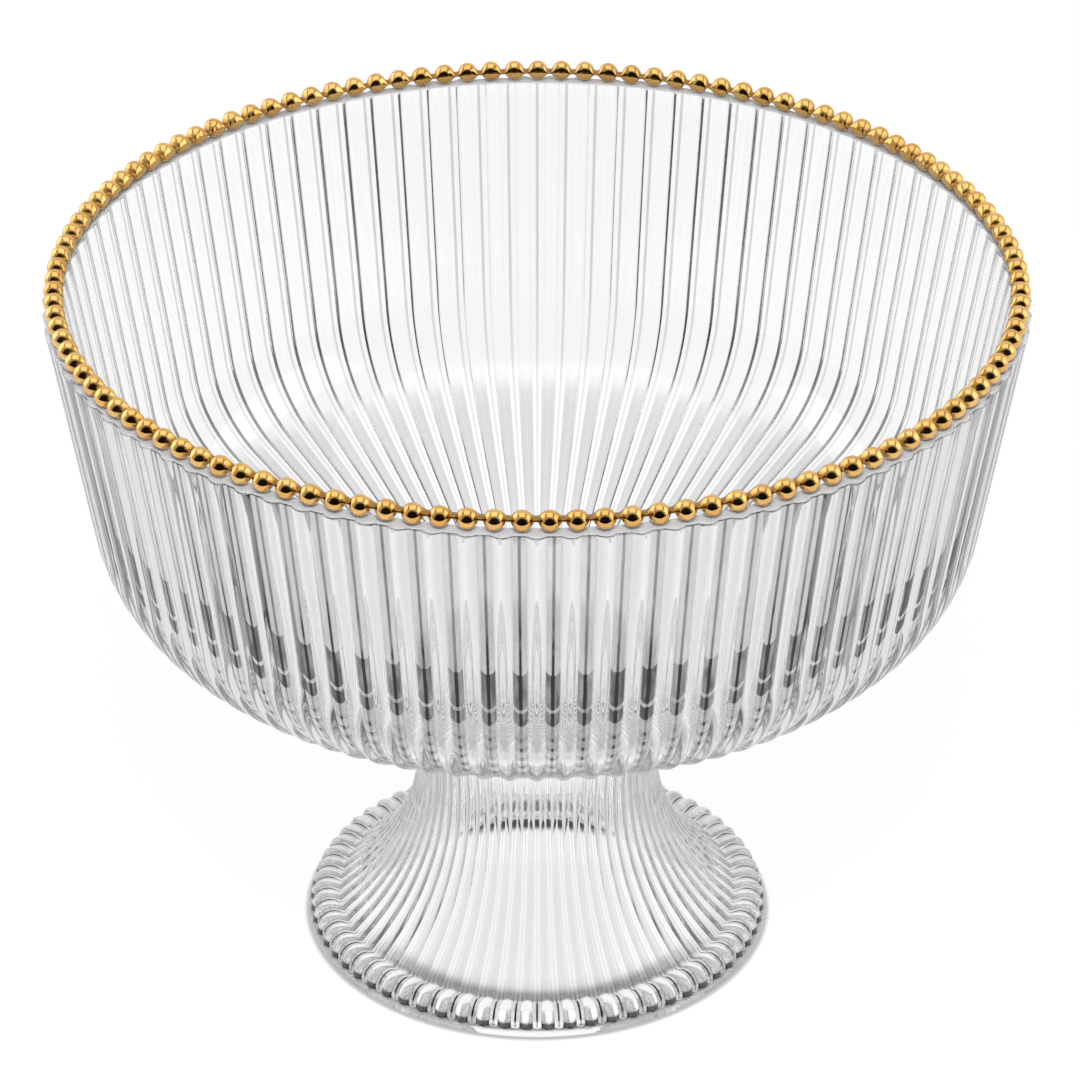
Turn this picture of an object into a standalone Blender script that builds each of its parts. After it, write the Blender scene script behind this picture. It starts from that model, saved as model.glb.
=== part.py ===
"""Footed salad bowl: a reeded glass bowl bonded to a ribbed glass foot, with a gilt beaded rim.

The origin is at the middle of the base, on the surface that the bowl stands on, with +Z up.
"""
import math

import bmesh
import bpy

# Beaded rim
BEAD_CIRCLE_RADIUS = 0.1126
BEAD_DIAMETER = 0.0048
BEAD_COUNT = 119
BALL_SHARE = 0.45
STRIP_SHARE = 0.95
STRIP_WIDTH = 0.0026
STRIP_THICKNESS = 0.0007
STRIP_INSET = 0.0009

# Bowl
BOWL_HEIGHT = 0.1084
RIM_OVERHANG = 0.0029
WALL_THICKNESS = 0.0048
FLOOR_THICKNESS = 0.0070
WALL_LEAN = math.radians(9.46)
WALL_HEIGHT = 0.0557
SHOULDER_RADIUS = 0.0332
SHOULDER_END = math.radians(59.0)
BOWL_RIB_COUNT = 95
BOWL_RIB_DEPTH = 0.0010

# Foot
FOOT_HEIGHT = 0.0655
FOOT_RADIUS = 0.0574
WAIST_RADIUS = 0.0295
WAIST_HEIGHT = 0.0470
FLARE_RADIUS = 0.0520
FLARE_END = math.radians(50.5)
TYRE_RADIUS = 0.0043
TYRE_HEIGHT = 0.0069
TYRE_START = math.radians(135.0)
TYRE_END = math.radians(-5.0)
BASE_LIP_STEP = 0.0005
BASE_LIP_HEIGHT = 0.0017
BASE_EDGE = 0.0005
FOOT_WALL = 0.0080
CAVITY_ROOF = 0.0098
CAVITY_EDGE = 0.0045
FOOT_RIB_COUNT = 66
FOOT_RIB_DEPTH = 0.0010

# Joints
BOND_THICKNESS = 0.0004
BOND_INSET = 0.0010
SEAT_GAP = 0.0003

# The side that faces the camera in the photo, and which columns of a ribbed ring are its grooves:
# a crest of the bowl faces that side, and a groove of the foot
FRONT = -math.pi / 2.0
ODD_COLUMNS = 1
EVEN_COLUMNS = 0

# Facets
SHOULDER_STEPS = 4
FLOOR_STEPS = 3
UNDERSIDE_STEPS = 3
FLARE_STEPS = 4
TYRE_STEPS = 4
CAVITY_STEPS = 3
BEAD_SIDES = 6
BOND_SIDES = 60
SHARP_GLASS_ANGLE = math.radians(50.0)
SHARP_GILT_ANGLE = math.radians(40.0)

# Places worked out from the sizes above
FOOT_TOP_ANGLE = math.asin((FOOT_HEIGHT - WAIST_HEIGHT) / FLARE_RADIUS)
PAD_RADIUS = WAIST_RADIUS + FLARE_RADIUS * (1.0 - math.cos(FOOT_TOP_ANGLE))
CAVITY_TOP_Z = FOOT_HEIGHT - CAVITY_ROOF
BOND_Z = FOOT_HEIGHT + SEAT_GAP
BOWL_Z = BOND_Z + BOND_THICKNESS + SEAT_GAP
LIP_Z = BOWL_Z + BOWL_HEIGHT
BEAD_Z = LIP_Z + SEAT_GAP + BEAD_DIAMETER / 2.0
WALL_TOP_RADIUS = BEAD_CIRCLE_RADIUS + RIM_OVERHANG


def fractions(steps):
    """Returns steps + 1 even fractions from 0 to 1."""
    return [step / steps for step in range(steps + 1)]


def glass_material(name, colour):
    """Returns a clear, polished glass."""
    material = bpy.data.materials.new(name)
    material.use_nodes = True
    shader = material.node_tree.nodes["Principled BSDF"]
    shader.inputs["Base Color"].default_value = colour
    shader.inputs["Roughness"].default_value = 0.03
    shader.inputs["Metallic"].default_value = 0.0
    shader.inputs["IOR"].default_value = 1.52
    shader.inputs["Transmission Weight"].default_value = 1.0
    return material


def gilt_material():
    """Returns the polished gold of the beads."""
    material = bpy.data.materials.new("gilt")
    material.use_nodes = True
    shader = material.node_tree.nodes["Principled BSDF"]
    shader.inputs["Base Color"].default_value = (0.83, 0.47, 0.11, 1.0)
    shader.inputs["Roughness"].default_value = 0.12
    shader.inputs["Metallic"].default_value = 1.0
    return material


def turned_ring(bm, radius, z, columns):
    """Adds a plain ring of vertices round the Z axis."""
    ring = []
    for column in range(columns):
        turn = FRONT + 2.0 * math.pi * column / columns
        ring.append(bm.verts.new((radius * math.cos(turn), radius * math.sin(turn), z)))
    return ring


def ribbed_ring(bm, point, columns, depth, grooves):
    """Adds a ring whose odd or even columns are sunk along the surface normal, as grooves between ribs.

    The point holds the crest's radius and height, and the radial and upright parts of its normal.
    """
    radius, z, normal_out, normal_up = point
    ring = []
    for column in range(columns):
        turn = FRONT + 2.0 * math.pi * column / columns
        sink = depth if column % 2 == grooves else 0.0
        ring_radius = radius - sink * normal_out
        ring_z = z - sink * normal_up
        ring.append(bm.verts.new((ring_radius * math.cos(turn), ring_radius * math.sin(turn), ring_z)))
    return ring


def join_rings(bm, first, second):
    """Fills the strip between two rings with as many columns, or with half as many in the second."""
    if len(first) == len(second):
        for column in range(len(first)):
            after = (column + 1) % len(first)
            bm.faces.new((first[column], first[after], second[after], second[column]))
        return
    for column in range(len(second)):
        after = (column + 1) % len(second)
        fine = 2 * column
        middle = first[fine + 1]
        bm.faces.new((second[column], first[fine], middle))
        bm.faces.new((second[column], middle, second[after]))
        bm.faces.new((second[after], middle, first[(fine + 2) % len(first)]))


def loft(bm, rings):
    """Fills the strips between neighbouring rings."""
    for first, second in zip(rings, rings[1:]):
        join_rings(bm, first, second)


def cap_to_axis(bm, ring, z):
    """Closes a ring with a fan of triangles to a point on the axis."""
    tip = bm.verts.new((0.0, 0.0, z))
    for column in range(len(ring)):
        after = (column + 1) % len(ring)
        bm.faces.new((ring[column], ring[after], tip))


def add_object(bm, name, material, sharp_angle):
    """Makes the mesh an object of its own, with its faces pointing out."""
    bmesh.ops.recalc_face_normals(bm, faces=bm.faces)
    mesh = bpy.data.meshes.new(name)
    bm.to_mesh(mesh)
    bm.free()
    mesh.shade_smooth()
    mesh.set_sharp_from_angle(angle=sharp_angle)
    mesh.materials.append(material)
    part = bpy.data.objects.new(name, mesh)
    bpy.context.scene.collection.objects.link(part)
    return part


def shoulder_point(angle, inset):
    """Returns a point and normal on the shoulder arc, whose normal tips down from level by the angle."""
    start_radius = WALL_TOP_RADIUS - WALL_HEIGHT * math.tan(WALL_LEAN)
    centre_radius = start_radius - SHOULDER_RADIUS * math.cos(WALL_LEAN)
    centre_z = LIP_Z - WALL_HEIGHT + SHOULDER_RADIUS * math.sin(WALL_LEAN)
    reach = SHOULDER_RADIUS - inset
    radius = centre_radius + reach * math.cos(angle)
    z = centre_z - reach * math.sin(angle)
    return radius, z, math.cos(angle), -math.sin(angle)


def shoulder_angles():
    """Returns the arc's angles, from the leaning wall to the underside."""
    return [WALL_LEAN + (SHOULDER_END - WALL_LEAN) * step for step in fractions(SHOULDER_STEPS)]


def falling_curve(start_radius, start_z, end_radius, end_z, step):
    """Returns radius, height and slope on a power curve from the shoulder's end down to a lower ring.

    Height above the end grows as a power of the distance out, with the power that makes the curve
    leave the shoulder arc without a kink.
    """
    run = start_radius - end_radius
    rise = start_z - end_z
    start_slope = 1.0 / math.tan(SHOULDER_END)
    power = max(start_slope * run / rise, 1.0)
    left = 1.0 - step
    slope = power * rise / run * left ** (power - 1.0)
    return end_radius + run * left, end_z + rise * left ** power, slope


def bowl_outer_points():
    """Returns crest points and normals from the lip, down the wall and shoulder, to near the pad."""
    points = [(WALL_TOP_RADIUS, LIP_Z, 1.0, 0.0)]
    points += [shoulder_point(angle, 0.0) for angle in shoulder_angles()]
    end_radius, end_z = points[-1][:2]
    for step in fractions(UNDERSIDE_STEPS)[1:-1]:
        radius, z, slope = falling_curve(end_radius, end_z, PAD_RADIUS, BOWL_Z, step)
        length = math.hypot(slope, 1.0)
        points.append((radius, z, slope / length, -1.0 / length))
    return points


def make_bowl(glass):
    """Presses the bowl: reeds outside, a smooth dish inside, a flat lip and a flat pad beneath."""
    bm = bmesh.new()
    columns = 2 * BOWL_RIB_COUNT
    outer = []
    for point in bowl_outer_points():
        depth = BOWL_RIB_DEPTH * point[0] / WALL_TOP_RADIUS
        outer.append(ribbed_ring(bm, point, columns, depth, ODD_COLUMNS))
    pad = turned_ring(bm, PAD_RADIUS, BOWL_Z, columns)
    loft(bm, outer + [pad])
    cap_to_axis(bm, pad, BOWL_Z)

    lip_inner_radius = WALL_TOP_RADIUS - WALL_THICKNESS / math.cos(WALL_LEAN)
    inner = [turned_ring(bm, lip_inner_radius, LIP_Z, BOWL_RIB_COUNT)]
    for angle in shoulder_angles():
        radius, z = shoulder_point(angle, WALL_THICKNESS)[:2]
        inner.append(turned_ring(bm, radius, z, BOWL_RIB_COUNT))
    floor_z = BOWL_Z + FLOOR_THICKNESS
    for step in fractions(FLOOR_STEPS)[1:-1]:
        floor_radius, rise_z, _ = falling_curve(radius, z, 0.0, floor_z, step)
        inner.append(turned_ring(bm, floor_radius, rise_z, BOWL_RIB_COUNT))
    loft(bm, [outer[0]] + inner)
    cap_to_axis(bm, inner[-1], floor_z)
    return add_object(bm, "bowl", glass, SHARP_GLASS_ANGLE)


def flare_point(angle, inset):
    """Returns a point and normal on the waist's arc, above the waist where the angle is negative."""
    reach = FLARE_RADIUS + inset
    radius = WAIST_RADIUS + FLARE_RADIUS - reach * math.cos(angle)
    z = WAIST_HEIGHT - reach * math.sin(angle)
    return radius, z, math.cos(angle), math.sin(angle)


def tyre_point(angle):
    """Returns a point and normal on the rounded rim of the foot, at an angle up from level."""
    radius = FOOT_RADIUS - BASE_LIP_STEP - TYRE_RADIUS + TYRE_RADIUS * math.cos(angle)
    z = TYRE_HEIGHT - TYRE_RADIUS + TYRE_RADIUS * math.sin(angle)
    return radius, z, math.cos(angle), math.sin(angle)


def foot_outer_points():
    """Returns crest points and normals from the top pad to the base lip."""
    first = -FOOT_TOP_ANGLE
    flare = [(PAD_RADIUS, FOOT_HEIGHT, 1.0, 0.0)]
    for step in fractions(FLARE_STEPS)[1:]:
        flare.append(flare_point(first + (FLARE_END - first) * step, 0.0))
    tyre = [tyre_point(TYRE_START + (TYRE_END - TYRE_START) * step) for step in fractions(TYRE_STEPS)]
    return flare + tyre


def cavity_points():
    """Returns radius and height from the cavity's mouth up to its flat top, with a bevelled edge.

    The cavity's side follows the flare and the waist, one wall inside them.
    """
    reach = FLARE_RADIUS + FOOT_WALL
    mouth = math.asin(WAIST_HEIGHT / reach)
    top = math.asin((WAIST_HEIGHT - CAVITY_TOP_Z + CAVITY_EDGE) / reach)
    points = [flare_point(mouth + (top - mouth) * step, FOOT_WALL)[:2] for step in fractions(CAVITY_STEPS)]
    return points + [(points[-1][0] - CAVITY_EDGE, CAVITY_TOP_Z)]


def make_foot(glass):
    """Presses the foot: a ribbed waist and flare, a rounded ribbed rim, and a hollow beneath."""
    bm = bmesh.new()
    columns = 2 * FOOT_RIB_COUNT
    outer = []
    for point in foot_outer_points():
        depth = FOOT_RIB_DEPTH * point[0] / FOOT_RADIUS
        outer.append(ribbed_ring(bm, point, columns, depth, EVEN_COLUMNS))
    lip_top = turned_ring(bm, FOOT_RADIUS, BASE_LIP_HEIGHT, columns)
    lip_low = turned_ring(bm, FOOT_RADIUS, BASE_EDGE, columns)
    base = turned_ring(bm, FOOT_RADIUS - BASE_EDGE, 0.0, columns)
    loft(bm, outer + [lip_top, lip_low, base])
    cap_to_axis(bm, outer[0], FOOT_HEIGHT)

    cavity = [turned_ring(bm, radius, z, FOOT_RIB_COUNT) for radius, z in cavity_points()]
    loft(bm, [base] + cavity)
    cap_to_axis(bm, cavity[-1], CAVITY_TOP_Z)
    return add_object(bm, "foot", glass, SHARP_GLASS_ANGLE)


def make_foot_bond(adhesive):
    """Lays the adhesive disc between the foot's top and the bowl's pad."""
    bm = bmesh.new()
    bond_radius = PAD_RADIUS - BOND_INSET
    low = turned_ring(bm, bond_radius, BOND_Z, BOND_SIDES)
    high = turned_ring(bm, bond_radius, BOND_Z + BOND_THICKNESS, BOND_SIDES)
    join_rings(bm, low, high)
    bm.faces.new(low)
    bm.faces.new(high)
    return add_object(bm, "foot_bond", adhesive, SHARP_GLASS_ANGLE)


def beaded_section(bm, turn, half_width, half_height, inset):
    """Adds one cross-section of the beaded strip, at an angle round the rim."""
    section = []
    for side in range(BEAD_SIDES):
        angle = math.pi / 2.0 + 2.0 * math.pi * side / BEAD_SIDES
        radius = BEAD_CIRCLE_RADIUS - inset + half_width * math.cos(angle)
        z = BEAD_Z + half_height * math.sin(angle)
        section.append(bm.verts.new((radius * math.cos(turn), radius * math.sin(turn), z)))
    return section


def make_bead_rim(gilt):
    """Runs one unbroken beaded strip round the lip: a ball at every step, and flat strip between."""
    bm = bmesh.new()
    bead_radius = BEAD_DIAMETER / 2.0
    ball = (bead_radius, bead_radius, 0.0)
    side_reach = math.cos(math.pi / BEAD_SIDES)
    strip = (STRIP_WIDTH / 2.0 / side_reach, STRIP_THICKNESS / 2.0, STRIP_INSET)
    stations = [(-STRIP_SHARE, strip), (-BALL_SHARE, ball), (BALL_SHARE, ball), (STRIP_SHARE, strip)]
    sections = []
    for bead in range(BEAD_COUNT):
        middle = FRONT + 2.0 * math.pi * (bead + 0.5) / BEAD_COUNT
        for share, shape in stations:
            sections.append(beaded_section(bm, middle + share * bead_radius / BEAD_CIRCLE_RADIUS, *shape))
    loft(bm, sections + sections[:1])
    return add_object(bm, "bead_rim", gilt, SHARP_GILT_ANGLE)


for leftover in list(bpy.data.objects):
    bpy.data.objects.remove(leftover)

make_bowl(glass_material("bowl_glass", (0.97, 0.98, 0.98, 1.0)))
make_foot(glass_material("foot_glass", (0.97, 0.98, 0.98, 1.0)))
make_foot_bond(glass_material("bond_adhesive", (0.98, 0.98, 0.96, 1.0)))
make_bead_rim(gilt_material())
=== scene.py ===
import bpy
import numpy as np
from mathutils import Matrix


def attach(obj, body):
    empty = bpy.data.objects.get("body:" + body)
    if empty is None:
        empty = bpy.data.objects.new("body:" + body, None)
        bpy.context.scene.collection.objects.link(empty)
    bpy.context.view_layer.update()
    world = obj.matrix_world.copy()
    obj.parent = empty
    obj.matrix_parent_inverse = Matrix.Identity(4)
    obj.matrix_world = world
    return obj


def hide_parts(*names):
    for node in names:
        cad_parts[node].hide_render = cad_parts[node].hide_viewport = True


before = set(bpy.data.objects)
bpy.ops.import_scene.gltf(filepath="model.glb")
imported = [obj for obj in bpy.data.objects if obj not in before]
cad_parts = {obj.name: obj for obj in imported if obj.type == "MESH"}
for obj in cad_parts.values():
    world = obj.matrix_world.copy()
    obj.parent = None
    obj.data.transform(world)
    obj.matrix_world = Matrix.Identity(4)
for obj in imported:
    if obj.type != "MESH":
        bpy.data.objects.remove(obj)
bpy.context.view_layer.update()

# Foot: a pedestal of clear pressed glass, ribbed outside from its top to its rounded rim.
# A plunger leaves the hollow beneath it smooth, and the base ring is ground flat to stand on.
# The shade tables pair places along the outline with the share of light that painted shade holds back there.
FOOT_TOP_RADIUS = 0.0329
FOOT_HEIGHT = 0.0655
FLARE_CENTRE = (0.0815, 0.0470)
FLARE_RADIUS = 0.0520
FLARE_TURN = (159.2, 230.5)
TYRE_CENTRE = (0.0526, 0.0026)
TYRE_RADIUS = 0.0043
TYRE_TURN = (135.0, -5.0)
BASE_LIP = ((0.0574, 0.0017), (0.0574, 0.0005), (0.0569, 0.0))
HOLLOW_RADIUS = 0.0600
HOLLOW_TURN = (180.0 + np.degrees(np.arcsin(FLARE_CENTRE[1] / HOLLOW_RADIUS)), 176.0)
HOLLOW_EDGE = 0.0045
FOOT_RIB_COUNT = 66
FOOT_RIB_SHARE = 0.30
FOOT_FIRST_RIB = 0.5
FOOT_LEVEL_ROWS = 1
CREST_SHARE = 0.60
CREST_POWER = 1.8
HALF_REED = (0.0, 0.16, 0.30, 0.42, 0.52, 0.59, 0.61, 0.65, 1.0)
PLAIN_SHARE = 4
PLAIN_MARGIN = 0.0015
# Painted shade on the ribs, by turn along the outline: how dark the crest, groove and groove's middle line
# are painted.
FLARE_PAINTED_SHADE = {
    "crest": ((160.0, 185.0, 226.0, 230.0), (0.0, 0.26, 0.26, 0.50)),
    "groove": ((160.0, 226.0, 230.0), (0.0, 0.0, 0.30)),
    "line": ((160.0, 185.0, 200.0), (0.55, 0.55, 0.15)),
}
TYRE_PAINTED_SHADE = {
    "crest": ((-135.0, -120.0, -105.0, -24.0, -14.0, 5.0), (0.50, 0.20, 0.0, 0.0, 0.99, 0.99)),
    "groove": ((-135.0, -100.0, -24.0, -14.0, 5.0), (0.30, 0.55, 0.55, 0.20, 0.20)),
    "line": ((-135.0, 5.0), (0.60, 0.60)),
}
GLASS_IOR = 1.5
GLASS_RELIEF = 0.000003
GLASS_STREAK_SCALE = 800.0
GLASS_RIPPLE_SCALE = 250.0
STREAK_STRETCH = (1.0, 1.0, 0.05)
RIPPLE_STRETCH = (1.0, 1.0, 0.10)
REED_DRIFT_SCALE = 90.0
STREAK_HEIGHT_SHARE = 0.25
GROOVE_SPAN = (0.46, 0.58)
CREST_SPAN = (0.57, 0.65)
LINE_SPAN = (0.86, 0.95)
LINE_PASSES = 1.5
DRIFT_SPAN = (0.75, 1.25)
DRIFT_SHARES = (0.72, 1.0)
RIPPLE_SPAN = (0.45, 0.75)
RIPPLE_ROUGHNESS = (0.0, 0.02)
GROOVE_ROUGHNESS = 0.35
WHITE = (1.0, 1.0, 1.0, 1.0)
BLACK = (0.0, 0.0, 0.0, 1.0)


def line_points(start, end, count):
    """Points on a straight line: the start plus even shares of the way to the end."""
    shares = np.linspace(0.0, 1.0, count)[:, None]
    return np.asarray(start) + shares * (np.asarray(end) - np.asarray(start))


def arc_points(centre, radius, turn, count):
    """Points on a circle: the centre plus the radius times cosine and sine of evenly spaced angles."""
    angles = np.radians(np.linspace(turn[0], turn[1], count))
    return np.asarray(centre) + radius * np.stack((np.cos(angles), np.sin(angles)), axis=1)


def reed_phases():
    """Places across one reed from -1 to 1, where 0 is its crest and both ends are the grooves' middles."""
    half = np.array(HALF_REED)
    return np.concatenate((-half[::-1], half[1:-1]))


def turned_band(path, turns):
    """Points of a plain turned surface: each path radius and height carried round the axis."""
    radius = path[:, 0, None]
    height = np.broadcast_to(path[:, 1, None], (len(path), len(turns)))
    return np.stack((radius * np.cos(turns), radius * np.sin(turns), height), axis=2)


def reeded_band(path, turns, phases, reeds, depth_share, level_rows):
    """Points of a turned surface with round reeds and flat grooves between them.

    Each point sinks along the path's normal by a share of the reed's half-width times a power of its
    place across the crest, up to the crest's edge and evenly past it. Level rows sink straight towards
    the axis.
    """
    along = np.gradient(path, axis=0)
    along /= np.linalg.norm(along, axis=1)[:, None]
    along[:level_rows] = (0.0, -1.0)
    half_width = np.pi * path[:, 0] / reeds
    sink = half_width[:, None] * depth_share * np.minimum(np.abs(phases) / CREST_SHARE, 1.0) ** CREST_POWER
    radius = path[:, 0, None] + along[:, 1, None] * sink
    height = path[:, 1, None] - along[:, 0, None] * sink
    return np.stack((radius * np.cos(turns), radius * np.sin(turns), height), axis=2)


def band_faces(start, rows, columns, loop=False):
    """Quads between neighbouring rows of a band whose first point has the index start."""
    row = np.arange(rows if loop else rows - 1)[:, None]
    column = np.arange(columns)[None, :]
    below = (row + 1) % rows
    after = (column + 1) % columns
    corners = (row * columns + column, below * columns + column,
               below * columns + after, row * columns + after)
    return (start + np.stack(np.broadcast_arrays(*corners), axis=2).reshape(-1, 4)).tolist()


def fan_faces(pole, ring):
    """Triangles from a point on the axis to each side of a ring."""
    return np.stack((np.full(len(ring), pole), ring, np.roll(ring, -1)), axis=1).tolist()


def join_faces(plain_ring, fine_ring):
    """Faces between a plain ring and one with PLAIN_SHARE times as many points."""
    fine = fine_ring.reshape(-1, PLAIN_SHARE)
    after = np.roll(fine[:, :1], -1, axis=0)
    plain = plain_ring[:, None]
    return np.concatenate((np.roll(plain, -1, axis=0), plain, fine, after), axis=1).tolist()


def add_piece(name, points, faces, material, marks):
    """Makes a smooth mesh object of points and faces, with named values stored on its points."""
    mesh = bpy.data.meshes.new(name)
    mesh.from_pydata(points, [], faces)
    for mark, values in marks.items():
        layer = mesh.attributes.new(mark, "FLOAT", "POINT")
        layer.data.foreach_set("value", np.asarray(values, dtype=np.float32))
    mesh.shade_smooth()
    mesh.materials.append(material)
    piece = bpy.data.objects.new(name, mesh)
    bpy.context.scene.collection.objects.link(piece)
    return piece


def add_pressing(name, before, reeded, after, reeds, depth_share, material, rows, first_middle, level_rows):
    """Closes a pressing from three bands of its outline: plain from the axis, reeded, plain to the axis.

    The first reed's middle lies that many reeds past the side that faces the camera. The mark "across"
    runs from 0 on a reed's crest to 1 in its groove, and rows holds other marks, one value per row.
    """
    phases = np.tile(reed_phases(), reeds)
    fine_columns = len(phases)
    columns = fine_columns // PLAIN_SHARE
    reed_middle = first_middle + np.repeat(np.arange(reeds), fine_columns // reeds)
    turns = (reed_middle + phases / 2.0) * 2.0 * np.pi / reeds - np.pi / 2.0
    plain_turns = turns[::PLAIN_SHARE]
    first = turned_band(before[1:], plain_turns)
    middle = reeded_band(reeded, turns, phases, reeds, depth_share, level_rows)
    last = turned_band(after[:-1], plain_turns)
    poles = np.array(((0.0, 0.0, before[0, 1]), (0.0, 0.0, after[-1, 1])))
    points = np.concatenate((first.reshape(-1, 3), middle.reshape(-1, 3), last.reshape(-1, 3), poles))
    middle_start = len(first) * columns
    last_start = middle_start + len(middle) * fine_columns
    end = last_start + len(last) * columns
    ring = np.arange(columns)
    fine_ring = np.arange(fine_columns)
    first_end = middle_start - columns + ring
    middle_end = last_start - fine_columns + fine_ring
    faces = fan_faces(end, ring)
    faces += band_faces(0, len(first), columns)
    faces += join_faces(first_end, middle_start + fine_ring)
    faces += band_faces(middle_start, len(middle), fine_columns)
    faces += [face[::-1] for face in join_faces(last_start + ring, middle_end)]
    faces += band_faces(last_start, len(last), columns)
    faces += [face[::-1] for face in fan_faces(end + 1, end - columns + ring)]
    marks = {mark: np.zeros(len(points)) for mark in ("across", *rows)}
    marks["across"][middle_start:last_start] = np.tile(np.abs(phases), len(middle))
    for mark, values in rows.items():
        marks[mark][middle_start:last_start] = np.repeat(values, fine_columns)
    return add_piece(name, points, faces, material, marks)


def feed(tree, socket, value):
    """Links another node's output to the socket, or sets the socket to a plain number or colour."""
    if isinstance(value, bpy.types.NodeSocket):
        tree.links.new(value, socket)
    else:
        socket.default_value = value


def math_node(tree, operation, first, second):
    """One Math node in the tree; each of its two values is a number or another node's output."""
    node = tree.nodes.new("ShaderNodeMath")
    node.operation = operation
    feed(tree, node.inputs[0], first)
    feed(tree, node.inputs[1], second)
    return node.outputs[0]


def product_node(tree, *factors):
    """All the factors multiplied together."""
    result = factors[0]
    for factor in factors[1:]:
        result = math_node(tree, "MULTIPLY", result, factor)
    return result


def ramp_node(tree, value, span, results):
    """A smooth ramp from the first result at the span's start to the second at its end."""
    node = tree.nodes.new("ShaderNodeMapRange")
    node.interpolation_type = "SMOOTHSTEP"
    tree.links.new(value, node.inputs["Value"])
    node.inputs["From Min"].default_value = span[0]
    node.inputs["From Max"].default_value = span[1]
    node.inputs["To Min"].default_value = results[0]
    node.inputs["To Max"].default_value = results[1]
    return node.outputs["Result"]


def mark_node(tree, mark):
    """The value stored on the mesh under that name."""
    node = tree.nodes.new("ShaderNodeAttribute")
    node.attribute_name = mark
    return node.outputs["Fac"]


def blend_node(tree, share, first, second):
    """A colour that goes from the first at share 0 to the second at share 1."""
    node = tree.nodes.new("ShaderNodeMix")
    node.data_type = "RGBA"
    tree.links.new(share, node.inputs[0])
    feed(tree, node.inputs[6], first)
    feed(tree, node.inputs[7], second)
    return node.outputs[2]


def noise_node(tree, stretch, scale, detail):
    """Noise in object coordinates, stretched by the given factors along X, Y and Z."""
    place = tree.nodes.new("ShaderNodeTexCoord")
    mapping = tree.nodes.new("ShaderNodeMapping")
    mapping.inputs["Scale"].default_value = stretch
    tree.links.new(place.outputs["Object"], mapping.inputs["Vector"])
    noise = tree.nodes.new("ShaderNodeTexNoise")
    feed(tree, noise.inputs["Scale"], scale)
    noise.inputs["Detail"].default_value = detail
    tree.links.new(mapping.outputs["Vector"], noise.inputs["Vector"])
    return noise.outputs["Fac"]


def start_material(name):
    """A new material with its node tree and its Principled shader."""
    material = bpy.data.materials.new(name)
    material.use_nodes = True
    return material, material.node_tree, material.node_tree.nodes["Principled BSDF"]


def add_bump(tree, shader, height, relief):
    """Bends the shader's normal by a height from 0 to 1 that stands for that much relief."""
    bump = tree.nodes.new("ShaderNodeBump")
    bump.inputs["Strength"].default_value = 1.0
    bump.inputs["Distance"].default_value = relief
    tree.links.new(height, bump.inputs["Height"])
    tree.links.new(bump.outputs["Normal"], shader.inputs["Normal"])


def mould_marks_group():
    """Mould streaks along the reeds and a slow ripple, and a drift between reeds that varies painted shade.
    """
    group = bpy.data.node_groups.new("mould_marks", "ShaderNodeTree")
    for name in ("Streak Scale", "Ripple Scale"):
        group.interface.new_socket(name, in_out="INPUT", socket_type="NodeSocketFloat")
    for name in ("Ripple", "Drift", "Height"):
        group.interface.new_socket(name, in_out="OUTPUT", socket_type="NodeSocketFloat")
    scales = group.nodes.new("NodeGroupInput").outputs
    results = group.nodes.new("NodeGroupOutput").inputs
    streaks = noise_node(group, STREAK_STRETCH, scales["Streak Scale"], 2.0)
    ripple = noise_node(group, RIPPLE_STRETCH, scales["Ripple Scale"], 1.0)
    reed_drift = noise_node(group, RIPPLE_STRETCH, REED_DRIFT_SCALE, 0.0)
    group.links.new(ripple, results["Ripple"])
    group.links.new(math_node(group, "ADD", streaks, reed_drift), results["Drift"])
    height = math_node(group, "ADD", ripple, math_node(group, "MULTIPLY", streaks, STREAK_HEIGHT_SHARE))
    group.links.new(height, results["Height"])
    return group


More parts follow.
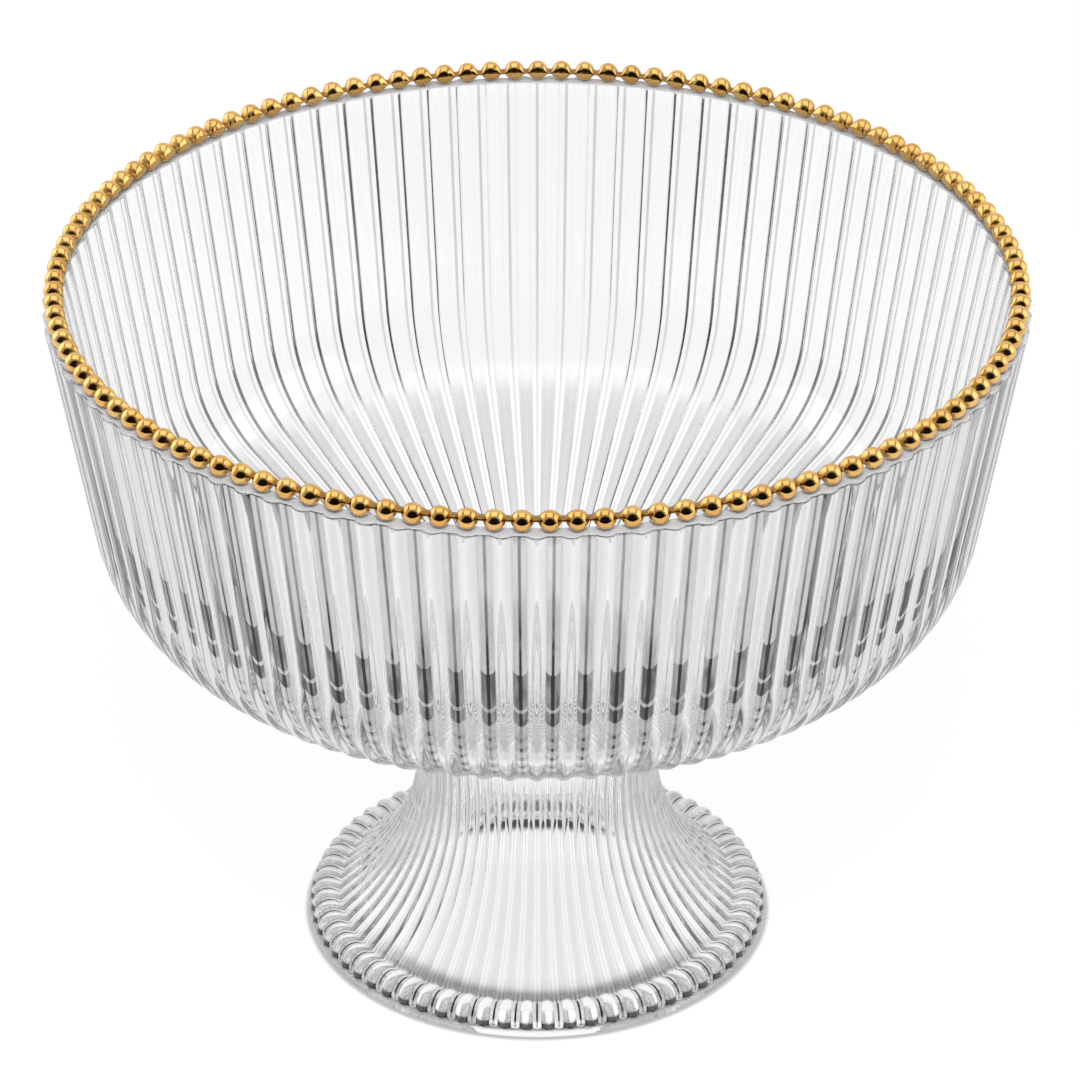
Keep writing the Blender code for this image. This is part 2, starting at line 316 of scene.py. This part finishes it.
def glass_material(name, streak_scale, ripple_scale, groove_shade=None):
    """Clear pressed glass, whose marks "crest", "groove" and "line" say how much painted shade each row has.

    The groove's painted shade shows only from outside, the drift noise of the mould marks makes it uneven,
    and the groove is rougher in step with it; a groove shade can add more painted shade. The line is painted
    shade in the groove's middle, seen through little glass. Streaks of the mould along the reeds and a slow
    ripple bend the surface, and its gloss varies a little.
    """
    material, tree, shader = start_material(name)
    shader.inputs["IOR"].default_value = GLASS_IOR
    shader.inputs["Transmission Weight"].default_value = 1.0
    mould = tree.nodes.new("ShaderNodeGroup")
    mould.node_tree = mould_marks
    mould.inputs["Streak Scale"].default_value = streak_scale
    mould.inputs["Ripple Scale"].default_value = ripple_scale
    across = mark_node(tree, "across")
    in_groove = ramp_node(tree, across, GROOVE_SPAN, (0.0, 1.0))
    on_crest = ramp_node(tree, across, CREST_SPAN, (1.0, 0.0))
    from_inside = tree.nodes.new("ShaderNodeNewGeometry").outputs["Backfacing"]
    from_outside = math_node(tree, "SUBTRACT", 1.0, from_inside)
    unevenness = ramp_node(tree, mould.outputs["Drift"], DRIFT_SPAN, DRIFT_SHARES)
    groove = mark_node(tree, "groove")
    if groove_shade:
        groove = math_node(tree, "MAXIMUM", groove, groove_shade(tree, across))
    groove_painted_shade = product_node(tree, groove, in_groove, from_outside, unevenness)
    passes = tree.nodes.new("ShaderNodeLightPath").outputs["Transmission Depth"]
    little_glass = math_node(tree, "LESS_THAN", passes, LINE_PASSES)
    in_middle = ramp_node(tree, across, LINE_SPAN, (0.0, 1.0))
    line_painted_shade = product_node(tree, mark_node(tree, "line"), in_middle, little_glass)
    crest_painted_shade = math_node(tree, "MULTIPLY", mark_node(tree, "crest"), on_crest)
    loss = math_node(tree, "ADD", crest_painted_shade, math_node(tree, "ADD", groove_painted_shade, line_painted_shade))
    # The Base Color darkens from white toward black by the painted shade of crest, groove and line.
    tree.links.new(blend_node(tree, loss, WHITE, BLACK), shader.inputs["Base Color"])
    gloss = ramp_node(tree, mould.outputs["Ripple"], RIPPLE_SPAN, RIPPLE_ROUGHNESS)
    satin = math_node(tree, "MULTIPLY", groove_painted_shade, GROOVE_ROUGHNESS)
    tree.links.new(math_node(tree, "ADD", gloss, satin), shader.inputs["Roughness"])
    add_bump(tree, shader, mould.outputs["Height"], GLASS_RELIEF)
    return material


mould_marks = mould_marks_group()
foot_glass = glass_material("foot_glass", GLASS_STREAK_SCALE, GLASS_RIPPLE_SCALE)
bell = arc_points(FLARE_CENTRE, HOLLOW_RADIUS, HOLLOW_TURN, 22)
bell_edge = arc_points((bell[-1, 0] - HOLLOW_EDGE, bell[-1, 1]), HOLLOW_EDGE, (0.0, 90.0), 9)
hollow_top = line_points(bell_edge[-1], (0.0, bell_edge[-1, 1]), 4)
foot_top = line_points((0.0, FOOT_HEIGHT), (FOOT_TOP_RADIUS - PLAIN_MARGIN, FOOT_HEIGHT), 5)
foot_flare = arc_points(FLARE_CENTRE, FLARE_RADIUS, FLARE_TURN, 36)
foot_tyre = arc_points(TYRE_CENTRE, TYRE_RADIUS, TYRE_TURN, 16)
foot_ribs = np.concatenate((foot_flare, foot_tyre))
flare_turns = np.linspace(FLARE_TURN[0], FLARE_TURN[1], len(foot_flare))
tyre_turns = np.linspace(TYRE_TURN[0], TYRE_TURN[1], len(foot_tyre))
foot_rows = {
    mark: np.concatenate((np.interp(flare_turns, *FLARE_PAINTED_SHADE[mark]),
                          np.interp(-tyre_turns, *TYRE_PAINTED_SHADE[mark])))
    for mark in FLARE_PAINTED_SHADE
}
foot_base = np.concatenate((np.array(BASE_LIP), bell, bell_edge[1:], hollow_top[1:]))
foot_pressing = add_pressing("foot_pressing", foot_top, foot_ribs, foot_base, FOOT_RIB_COUNT, FOOT_RIB_SHARE,
                             foot_glass, foot_rows, FOOT_FIRST_RIB, FOOT_LEVEL_ROWS)
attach(foot_pressing, "root")
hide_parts("foot")

# Bond: a thin disc of clear adhesive that joins the foot's top to the pad under the bowl.
# It is squeezed out thin when the two pressings are set together and cured in place.
# It reaches a little into both, as wetted glass does, so that no air film shows.
BOND_RADIUS = 0.0319
BOND_ROUND = 0.0002
BOND_Z = (0.0653, 0.0667)
BOND_SIDES = 96
BOND_STREAK_SCALE = 400.0
BOND_RIPPLE_SCALE = 120.0
bond_flat = BOND_RADIUS - BOND_ROUND
bond_path = np.concatenate((
    line_points((0.0, BOND_Z[1]), (bond_flat, BOND_Z[1]), 4),
    arc_points((bond_flat, sum(BOND_Z) / 2.0), BOND_ROUND, (90.0, -90.0), 7)[1:],
    line_points((bond_flat, BOND_Z[0]), (0.0, BOND_Z[0]), 4)[1:],
))
bond_turns = 2.0 * np.pi * np.arange(BOND_SIDES) / BOND_SIDES
bond_rows = turned_band(bond_path[1:-1], bond_turns)
bond_end = bond_rows.shape[0] * BOND_SIDES
bond_ring = np.arange(BOND_SIDES)
bond_points = np.concatenate((bond_rows.reshape(-1, 3), ((0.0, 0.0, BOND_Z[1]), (0.0, 0.0, BOND_Z[0]))))
bond_faces = fan_faces(bond_end, bond_ring) + band_faces(0, bond_rows.shape[0], BOND_SIDES)
bond_faces += [face[::-1] for face in fan_faces(bond_end + 1, bond_end - BOND_SIDES + bond_ring)]
bond_adhesive = glass_material("bond_adhesive", BOND_STREAK_SCALE, BOND_RIPPLE_SCALE)
bond_disc = add_piece("bond_disc", bond_points, bond_faces, bond_adhesive, {})
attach(bond_disc, "root")
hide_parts("foot_bond")

# Bowl: a deep dish of clear pressed glass, smooth inside, with round upright reeds outside.
# The reeds run from the flat lip over the shoulder and in under the bowl to the pad on the foot.
# The lip is ground flat on top, and painted shade makes dark patches in the grooves above the shoulder.
FLOOR_CENTRE_Z = 0.0735
FLOOR_POWER = 1.975
INNER_SHOULDER_END = (0.0881, 0.1003)
SHOULDER_CENTRE = (0.07347, 0.12466)
SHOULDER_RADIUS = 0.0332
WALL_THICKNESS = 0.0048
WALL_LEAN = 9.46
SHOULDER_END = 59.0
LIP_Z = 0.1749
LIP_RADII = (0.11063, 0.1154)
LIP_ROUND = 0.0007
PAD_RADIUS = 0.0329
PAD_Z = 0.0665
UNDERSIDE_POWER = 1.17
BOWL_REED_COUNT = 95
BOWL_REED_SHARE = 0.27
BOWL_FIRST_REED = 0.0
WALL_HEIGHTS = (0.168, 0.160, 0.151, 0.144, 0.137, 0.130, 0.124)
# Painted shade on the reeds, by height: how dark the crest, groove and groove's middle line are painted.
REED_PAINTED_SHADE = {
    "crest": ((0.068, 0.080, 0.0955, 0.0990), (0.10, 0.46, 0.46, 0.0)),
    "groove": ((0.070, 0.085, 0.125, 0.137, 0.165), (0.0, 0.30, 0.30, 0.50, 0.38)),
    "line": ((0.070, 0.100, 0.125, 0.174), (0.25, 0.35, 0.55, 0.55)),
}
# Painted shade: a dark patch in each groove above the shoulder, crossed by a painted light U, and scallops of
# shade lower down.
PATCH_EDGES = (0.1202, 0.1208, 0.1352, 0.1358)
PATCH_LIGHT_EDGES = (0.1240, 0.1246, 0.1250, 0.1256)
PATCH_LIGHT_SHARE = 0.85
PATCH_RISE = 0.0110
PATCH_RISE_POWER = 2.5
PATCH_LOSS = 0.98
SCALLOP_EDGES = (0.0900, 0.0960, 0.1160, 0.1190)
SCALLOP_PITCH = 0.0034
SCALLOP_SPAN = (0.0, 0.6)
SCALLOP_SHARE = 0.65
GROUND_DEPTH = 0.0003
GROUND_CLEAR_SHARE = 0.35
GROUND_PIT_SCALE = 2500.0
GROUND_RELIEF = 0.00002
GROUND_COLOURS = ((0.55, 0.56, 0.58, 1.0), (0.66, 0.67, 0.69, 1.0))
GROUND_COLOUR_SPAN = (0.35, 0.65)
GROUND_GLOSS_SPAN = (0.3, 0.7)
GROUND_ROUGHNESS = (0.35, 0.55)


def line_at_heights(start, end, heights):
    """Points on a straight line at given heights: the start plus the share of the way to the end there."""
    shares = (np.array(heights) - start[1]) / (end[1] - start[1])
    return np.asarray(start) + shares[:, None] * (np.asarray(end) - np.asarray(start))


def power_curve(axis_end, shoulder_end, power, count):
    """Points whose height above the lower end grows as a power of the way out from it."""
    way = np.linspace(0.0, 1.0, count)
    radius = axis_end[0] + (shoulder_end[0] - axis_end[0]) * way
    height = axis_end[1] + (shoulder_end[1] - axis_end[1]) * way ** power
    return np.stack((radius, height), axis=1)


def band_node(tree, value, edges):
    """A mask that rises from 0 to 1 between the first two edges and falls back between the last two."""
    rise = ramp_node(tree, value, edges[:2], (0.0, 1.0))
    fall = ramp_node(tree, value, edges[2:], (1.0, 0.0))
    return math_node(tree, "MULTIPLY", rise, fall)


def patch_shade(tree, across):
    """The painted shade of one dark patch per groove, and of small painted scallops in it on the shoulder.

    Both have U-shaped ends, because the height that they go by is less a rise that grows as a power of
    the way from the groove's middle. A painted light U crosses each patch near its foot.
    """
    place = tree.nodes.new("ShaderNodeTexCoord")
    axes = tree.nodes.new("ShaderNodeSeparateXYZ")
    tree.links.new(place.outputs["Object"], axes.inputs[0])
    off_middle = math_node(tree, "SUBTRACT", 1.0, across)
    curve = math_node(tree, "POWER", off_middle, PATCH_RISE_POWER)
    level = math_node(tree, "SUBTRACT", axes.outputs["Z"], math_node(tree, "MULTIPLY", curve, PATCH_RISE))
    light = math_node(tree, "MULTIPLY", band_node(tree, level, PATCH_LIGHT_EDGES), PATCH_LIGHT_SHARE)
    patch = math_node(tree, "MULTIPLY", band_node(tree, level, PATCH_EDGES),
                      math_node(tree, "SUBTRACT", 1.0, light))
    wave = math_node(tree, "SINE", math_node(tree, "MULTIPLY", level, 2.0 * np.pi / SCALLOP_PITCH), 0.0)
    scallops = math_node(tree, "MULTIPLY", band_node(tree, level, SCALLOP_EDGES),
                         ramp_node(tree, wave, SCALLOP_SPAN, (0.0, SCALLOP_SHARE)))
    return math_node(tree, "MULTIPLY", math_node(tree, "MAXIMUM", patch, scallops), PATCH_LOSS)


def ground_material():
    """Ground glass: pale, satin and only part clear, with the fine pits that grinding leaves."""
    material, tree, shader = start_material("bowl_lip_ground")
    shader.inputs["IOR"].default_value = GLASS_IOR
    shader.inputs["Transmission Weight"].default_value = GROUND_CLEAR_SHARE
    pits = noise_node(tree, (1.0, 1.0, 1.0), GROUND_PIT_SCALE, 3.0)
    shade = blend_node(tree, ramp_node(tree, pits, GROUND_COLOUR_SPAN, (0.0, 1.0)), *GROUND_COLOURS)
    tree.links.new(shade, shader.inputs["Base Color"])
    tree.links.new(ramp_node(tree, pits, GROUND_GLOSS_SPAN, GROUND_ROUGHNESS), shader.inputs["Roughness"])
    add_bump(tree, shader, pits, GROUND_RELIEF)
    return material


inner_floor = power_curve((0.0, FLOOR_CENTRE_Z), INNER_SHOULDER_END, FLOOR_POWER, 22)
inner_arc = arc_points(SHOULDER_CENTRE, SHOULDER_RADIUS - WALL_THICKNESS, (-SHOULDER_END, -WALL_LEAN), 14)
outer_arc = arc_points(SHOULDER_CENTRE, SHOULDER_RADIUS, (-WALL_LEAN, -SHOULDER_END), 16)
underside = power_curve((PAD_RADIUS, PAD_Z), tuple(outer_arc[-1]), UNDERSIDE_POWER, 16)[::-1]
lip_inner = (LIP_RADII[0] + LIP_ROUND, LIP_Z - LIP_ROUND)
lip_outer = (LIP_RADII[1] - LIP_ROUND, LIP_Z - LIP_ROUND)
lip_inner_round = arc_points(lip_inner, LIP_ROUND, (180.0 - WALL_LEAN, 90.0), 6)
lip_outer_round = arc_points(lip_outer, LIP_ROUND, (90.0, -WALL_LEAN), 7)
inner_wall = line_points(inner_arc[-1], lip_inner_round[0], 8)
outer_wall = line_at_heights(lip_outer_round[-1], outer_arc[0], WALL_HEIGHTS)
bowl_inside = np.concatenate((inner_floor, inner_arc[1:], inner_wall[1:-1], lip_inner_round))
bowl_reeds = np.concatenate((lip_outer_round, outer_wall, outer_arc, underside[1:]))
bowl_pad = line_points((PAD_RADIUS - PLAIN_MARGIN, PAD_Z), (0.0, PAD_Z), 6)
bowl_glass = glass_material("bowl_glass", GLASS_STREAK_SCALE, GLASS_RIPPLE_SCALE, patch_shade)
bowl_rows = {mark: np.interp(bowl_reeds[:, 1], *tones) for mark, tones in REED_PAINTED_SHADE.items()}
bowl_pressing = add_pressing("bowl_pressing", bowl_inside, bowl_reeds, bowl_pad,
                             BOWL_REED_COUNT, BOWL_REED_SHARE, bowl_glass, bowl_rows, BOWL_FIRST_REED,
                             len(lip_outer_round))
bowl_pressing.data.materials.append(ground_material())
face_centres = np.empty(3 * len(bowl_pressing.data.polygons))
bowl_pressing.data.polygons.foreach_get("center", face_centres)
on_lip = face_centres[2::3] > LIP_Z - GROUND_DEPTH
bowl_pressing.data.polygons.foreach_set("material_index", on_lip.astype(np.int32))
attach(bowl_pressing, "root")
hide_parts("bowl")

# Beaded strip: gilt metal, a row of round beads on a thin flat strip, pressed in one length.
# Its ends are joined into a ring, and it lies on the bowl's flat lip in a film of adhesive.
# Polishing reaches the beads, and the strip in the gaps between them stays duller, darkened with painted
# shade.
BEAD_CIRCLE_RADIUS = 0.1126
BEAD_Z = 0.1776
BEAD_RADIUS = 0.0024
BEAD_COUNT = 119
STRIP_REACH_OUT = 0.0004
STRIP_REACH_IN = 0.0022
STRIP_HALF_THICKNESS = 0.00035
STATIONS_PER_BEAD = 18
SECTION_SIDES = 16
GAP_SHARES = (0.80, 1.0)
GAP_SHADE_COLOUR = (0.36, 0.19, 0.045, 1.0)
GAP_ROUGHNESS = 0.15
GILT_COLOURS = ((0.76, 0.42, 0.12, 1.0), (0.85, 0.52, 0.17, 1.0))
GILT_DRIFT_SCALE = 160.0
GILT_DRIFT_SPAN = (0.35, 0.65)
GILT_MARK_SCALE = 3000.0
GILT_MARK_SHARE = 0.6
GILT_WEAR_SPAN = (0.6, 1.0)
GILT_ROUGHNESS = (0.05, 0.16)
GILT_RELIEF = 0.000005


def beaded_grid():
    """Points of the beaded strip, as rows along the rim by columns round its cross-section, and its gaps.

    Along the rim each bead's half-width is the square root of its radius squared less the distance
    squared, and the strip takes over where that is less than the strip's own reach. The gap mark goes
    from 0 on a bead to 1 past its end.
    """
    rows = BEAD_COUNT * STATIONS_PER_BEAD
    turns = 2.0 * np.pi * np.arange(rows) / rows - np.pi / 2.0
    pitch = 2.0 * np.pi * BEAD_CIRCLE_RADIUS / BEAD_COUNT
    along = ((np.arange(rows) + 0.5) / STATIONS_PER_BEAD % 1.0 - 0.5) * pitch
    ball = np.sqrt(np.clip(BEAD_RADIUS ** 2 - along ** 2, 0.0, None))
    angles = 2.0 * np.pi * np.arange(SECTION_SIDES) / SECTION_SIDES
    reach = np.where(np.cos(angles) > 0.0, STRIP_REACH_OUT, STRIP_REACH_IN)
    radius = BEAD_CIRCLE_RADIUS + np.maximum(ball[:, None], reach) * np.cos(angles)
    height = BEAD_Z + np.maximum(ball, STRIP_HALF_THICKNESS)[:, None] * np.sin(angles)
    points = np.stack((radius * np.cos(turns)[:, None], radius * np.sin(turns)[:, None], height), axis=2)
    gap = np.clip((np.abs(along) / BEAD_RADIUS - GAP_SHARES[0]) / (GAP_SHARES[1] - GAP_SHARES[0]), 0.0, 1.0)
    return points, np.repeat(gap, SECTION_SIDES)


def gilt_material():
    """Polished gold plate: its colour and gloss drift from bead to bead, with faint polishing marks."""
    material, tree, shader = start_material("gilt")
    shader.inputs["Metallic"].default_value = 1.0
    drift = noise_node(tree, (1.0, 1.0, 1.0), GILT_DRIFT_SCALE, 1.0)
    marks = noise_node(tree, (1.0, 1.0, 1.0), GILT_MARK_SCALE, 2.0)
    gap = mark_node(tree, "gap")
    polished = blend_node(tree, ramp_node(tree, drift, GILT_DRIFT_SPAN, (0.0, 1.0)), *GILT_COLOURS)
    # The strip in the gaps between beads is darkened with painted shade.
    tree.links.new(blend_node(tree, gap, polished, GAP_SHADE_COLOUR), shader.inputs["Base Color"])
    wear = math_node(tree, "ADD", drift, math_node(tree, "MULTIPLY", marks, GILT_MARK_SHARE))
    gloss = ramp_node(tree, wear, GILT_WEAR_SPAN, GILT_ROUGHNESS)
    dullness = math_node(tree, "MULTIPLY", gap, GAP_ROUGHNESS)
    tree.links.new(math_node(tree, "ADD", gloss, dullness), shader.inputs["Roughness"])
    add_bump(tree, shader, marks, GILT_RELIEF)
    return material


bead_points, bead_gaps = beaded_grid()
bead_faces = band_faces(0, bead_points.shape[0], SECTION_SIDES, True)
beaded_strip = add_piece("beaded_strip", bead_points.reshape(-1, 3), bead_faces, gilt_material(),
                         {"gap": bead_gaps})
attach(beaded_strip, "root")
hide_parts("bead_rim")

# Stage: a wide pale floor that glows evenly for the camera, the glass and the gilt.
# A small share of it is paint that the lamps light, so it keeps the bowl's shadow.
# A painted shadow line runs round the foot, and through the glass painted dark rings stand for the foot's
# contact shadow.
FLOOR_RADIUS = 4.0
FLOOR_SIDES = 96
PAINT_SHARE = 0.04
FRONT_EDGE_Y = (-0.55, -0.40)
BOUNCE_SHARE = 0.75
BOUNCE_PASSES = 2.5
BOUNCE_RING = (0.060, 0.090)
BOUNCE_WEIGHTS = (0.25, 1.0)
CONTACT_RING = (0.0370, 0.0410, 0.0442, 0.0470)
CONTACT_NEAR_Y = (-0.035, -0.015)
CONTACT_FAR_Y = (0.034, 0.041)
CONTACT_NEAR_LOSS = 0.60
CONTACT_FAR_LOSS = 0.98
EDGE_RING = (0.0520, 0.0540, 0.0574, 0.0578)
EDGE_LOSS = 0.25
SHADOW_LINE = (0.0560, 0.0570, 0.0573, 0.0588)
SHADOW_LOSS = 0.48
HALF_BOUNCE = 0.5


def left_node(tree, *losses):
    """What is left over of 1 once the product of the losses is taken away."""
    return math_node(tree, "SUBTRACT", 1.0, product_node(tree, *losses))


def straight_node(tree, path):
    """1 for light that came straight through the glass, with no bounce inside it."""
    unbounced = math_node(tree, "LESS_THAN", path["Glossy Depth"], HALF_BOUNCE)
    return math_node(tree, "MULTIPLY", path["Is Transmission Ray"], unbounced)


def floor_material():
    """A pale floor: a steady glow for what sees it, plus a share of paint that takes the shadow.

    Light that was bounced about inside the glass before it leaves shows the floor darker, by a share
    raised to the number of bounces and more so away from the foot. Reflections see it dark in front.
    """
    material = bpy.data.materials.new("floor_paper")
    material.use_nodes = True
    tree = material.node_tree
    tree.nodes.clear()
    path = tree.nodes.new("ShaderNodeLightPath").outputs
    place = tree.nodes.new("ShaderNodeTexCoord")
    axes = tree.nodes.new("ShaderNodeSeparateXYZ")
    tree.links.new(place.outputs["Object"], axes.inputs[0])
    distance = tree.nodes.new("ShaderNodeVectorMath")
    distance.operation = "LENGTH"
    tree.links.new(place.outputs["Object"], distance.inputs[0])
    radius = distance.outputs["Value"]
    direct = math_node(tree, "MAXIMUM", path["Is Camera Ray"], straight_node(tree, path))
    behind_front = ramp_node(tree, axes.outputs["Y"], FRONT_EDGE_Y, (0.0, 1.0))
    lit = math_node(tree, "MAXIMUM", behind_front, direct)
    in_glass = math_node(tree, "MINIMUM", path["Transmission Depth"], 1.0)
    few_passes = math_node(tree, "LESS_THAN", path["Transmission Depth"], BOUNCE_PASSES)
    far_off = ramp_node(tree, radius, BOUNCE_RING, BOUNCE_WEIGHTS)
    bounces = product_node(tree, path["Glossy Depth"], in_glass, few_passes, far_off)
    left_by_bounces = math_node(tree, "POWER", BOUNCE_SHARE, bounces)
    # Painted contact shadow: rings under the foot and at its edge are darkened for light through the glass,
    # and the painted shadow line for all light.
    near_loss = ramp_node(tree, axes.outputs["Y"], CONTACT_NEAR_Y, (CONTACT_NEAR_LOSS, 0.0))
    far_loss = ramp_node(tree, axes.outputs["Y"], CONTACT_FAR_Y, (0.0, CONTACT_FAR_LOSS))
    contact_loss = math_node(tree, "ADD", near_loss, far_loss)
    left_by_contact = left_node(tree, band_node(tree, radius, CONTACT_RING), in_glass, contact_loss)
    left_by_edge = left_node(tree, band_node(tree, radius, EDGE_RING), in_glass, EDGE_LOSS)
    left_by_shadow = left_node(tree, band_node(tree, radius, SHADOW_LINE), SHADOW_LOSS)
    level = product_node(tree, lit, left_by_bounces, left_by_contact, left_by_edge, left_by_shadow)
    sharp_ray = math_node(tree, "MAXIMUM", path["Is Camera Ray"], path["Is Glossy Ray"])
    seen = math_node(tree, "MAXIMUM", sharp_ray, path["Is Transmission Ray"])
    paint = tree.nodes.new("ShaderNodeBsdfDiffuse")
    tree.links.new(math_node(tree, "MULTIPLY", level, PAINT_SHARE), paint.inputs["Color"])
    glow = tree.nodes.new("ShaderNodeEmission")
    tree.links.new(product_node(tree, level, 1.0 - PAINT_SHARE, seen), glow.inputs["Strength"])
    both = tree.nodes.new("ShaderNodeAddShader")
    tree.links.new(paint.outputs[0], both.inputs[0])
    tree.links.new(glow.outputs[0], both.inputs[1])
    output = tree.nodes.new("ShaderNodeOutputMaterial")
    tree.links.new(both.outputs[0], output.inputs["Surface"])
    return material


floor_turns = 2.0 * np.pi * np.arange(FLOOR_SIDES) / FLOOR_SIDES
floor_points = FLOOR_RADIUS * np.stack((np.cos(floor_turns), np.sin(floor_turns), 0.0 * floor_turns), axis=1)
floor = add_piece("floor", floor_points, [list(range(FLOOR_SIDES))], floor_material(), {})

# Studio: white to the camera and straight through the glass, and to other light a grey room.
# The room is lighter behind the bowl and dark in front of it, so that gilt and glass have contrast.
# Two softboxes stand low at the sides, a wide one hangs overhead, and the key lamp casts the shadow.
ROOM_LEVEL = 0.55
BACKDROP_LEVEL = 0.90
BACKDROP_SPAN = (0.3, 0.8)
FRONT_LEVEL = 0.02
FRONT_SPAN = (-0.70, -0.45)
GLASS_ROOM_LOSS = 0.5
STRAIGHT_LEVEL = 0.97
LAMP_TARGET = (0.0, 0.0, 0.1)
SIDE_BOX_PLACES = {"left_softbox": (-1.05, 0.40, 0.55), "right_softbox": (1.10, 0.00, 0.60)}
SIDE_BOX_SIZE = 1.1
SIDE_BOX_RADIANCE = 1.2
OVERHEAD_PLACE = (0.0, 0.1, 1.7)
OVERHEAD_SIZE = 1.5
OVERHEAD_RADIANCE = 0.9
KEY_PLACE = (0.0, -1.05, 1.30)
KEY_SIZE = 0.50
KEY_RADIANCE = 36.0


def studio_world():
    """A white surround for the camera and straight through glass, and a room by direction for other light."""
    world = bpy.data.worlds.new("studio")
    world.use_nodes = True
    tree = world.node_tree
    tree.nodes.clear()
    path = tree.nodes.new("ShaderNodeLightPath").outputs
    place = tree.nodes.new("ShaderNodeTexCoord")
    axes = tree.nodes.new("ShaderNodeSeparateXYZ")
    tree.links.new(place.outputs["Generated"], axes.inputs[0])
    behind = ramp_node(tree, axes.outputs["Y"], BACKDROP_SPAN, (ROOM_LEVEL, BACKDROP_LEVEL))
    front = ramp_node(tree, axes.outputs["Y"], FRONT_SPAN, (FRONT_LEVEL, 1.0))
    in_glass = math_node(tree, "MINIMUM", path["Transmission Depth"], 1.0)
    room = product_node(tree, behind, front, left_node(tree, in_glass, GLASS_ROOM_LOSS))
    straight = math_node(tree, "MULTIPLY", straight_node(tree, path), STRAIGHT_LEVEL)
    white = math_node(tree, "MAXIMUM", straight, path["Is Camera Ray"])
    background = tree.nodes.new("ShaderNodeBackground")
    background.inputs["Color"].default_value = WHITE
    tree.links.new(math_node(tree, "MAXIMUM", room, white), background.inputs["Strength"])
    output = tree.nodes.new("ShaderNodeOutputWorld")
    tree.links.new(background.outputs[0], output.inputs["Surface"])
    return world


def add_softbox(name, place, size, radiance):
    """A square area lamp that faces the bowl's middle; its power is radiance times pi times its area."""
    lamp = bpy.data.lights.new(name, "AREA")
    lamp.shape = "SQUARE"
    lamp.size = size
    lamp.energy = radiance * np.pi * size ** 2
    holder = bpy.data.objects.new(name, lamp)
    away = np.asarray(place) - np.array(LAMP_TARGET)
    turn = np.arctan2(away[0], -away[1])
    tip = np.arctan2(np.hypot(away[0], away[1]), away[2])
    holder.location = place
    holder.rotation_euler = (tip, 0.0, turn)
    holder.visible_camera = False
    bpy.context.scene.collection.objects.link(holder)
    return holder


bpy.context.scene.world = studio_world()
for box_name, box_place in SIDE_BOX_PLACES.items():
    side_box = add_softbox(box_name, box_place, SIDE_BOX_SIZE, SIDE_BOX_RADIANCE)
    side_box.visible_diffuse = False
    side_box.visible_transmission = False
add_softbox("overhead_softbox", OVERHEAD_PLACE, OVERHEAD_SIZE, OVERHEAD_RADIANCE)
key_lamp = add_softbox("key_lamp", KEY_PLACE, KEY_SIZE, KEY_RADIANCE)
key_lamp.visible_glossy = False
key_lamp.visible_transmission = False

# Camera: at the photograph's height and distance, looking down on the bowl's near side.
# The lens is long, so the rim shows as a wide ellipse with little perspective.
CAMERA_LENS = 166.667
CAMERA_SENSOR = 36.0
CAMERA_PLACE = (0.0007, -1.0360, 0.7200)
CAMERA_TIP = 59.35
camera = bpy.data.objects.new("camera", bpy.data.cameras.new("camera"))
camera.data.lens = CAMERA_LENS
camera.data.sensor_width = CAMERA_SENSOR
camera.location = CAMERA_PLACE
camera.rotation_euler = (np.radians(CAMERA_TIP), 0.0, 0.0)
bpy.context.scene.collection.objects.link(camera)
bpy.context.scene.camera = camera

# Rendering: plain view settings, and enough bounces for light to pass both walls of the glass.
GLASS_BOUNCES = 32
GLOSSY_BOUNCES = 16
scene = bpy.context.scene
scene.view_settings.view_transform = "Standard"
scene.cycles.max_bounces = GLASS_BOUNCES
scene.cycles.transmission_bounces = GLASS_BOUNCES
scene.cycles.glossy_bounces = GLOSSY_BOUNCES
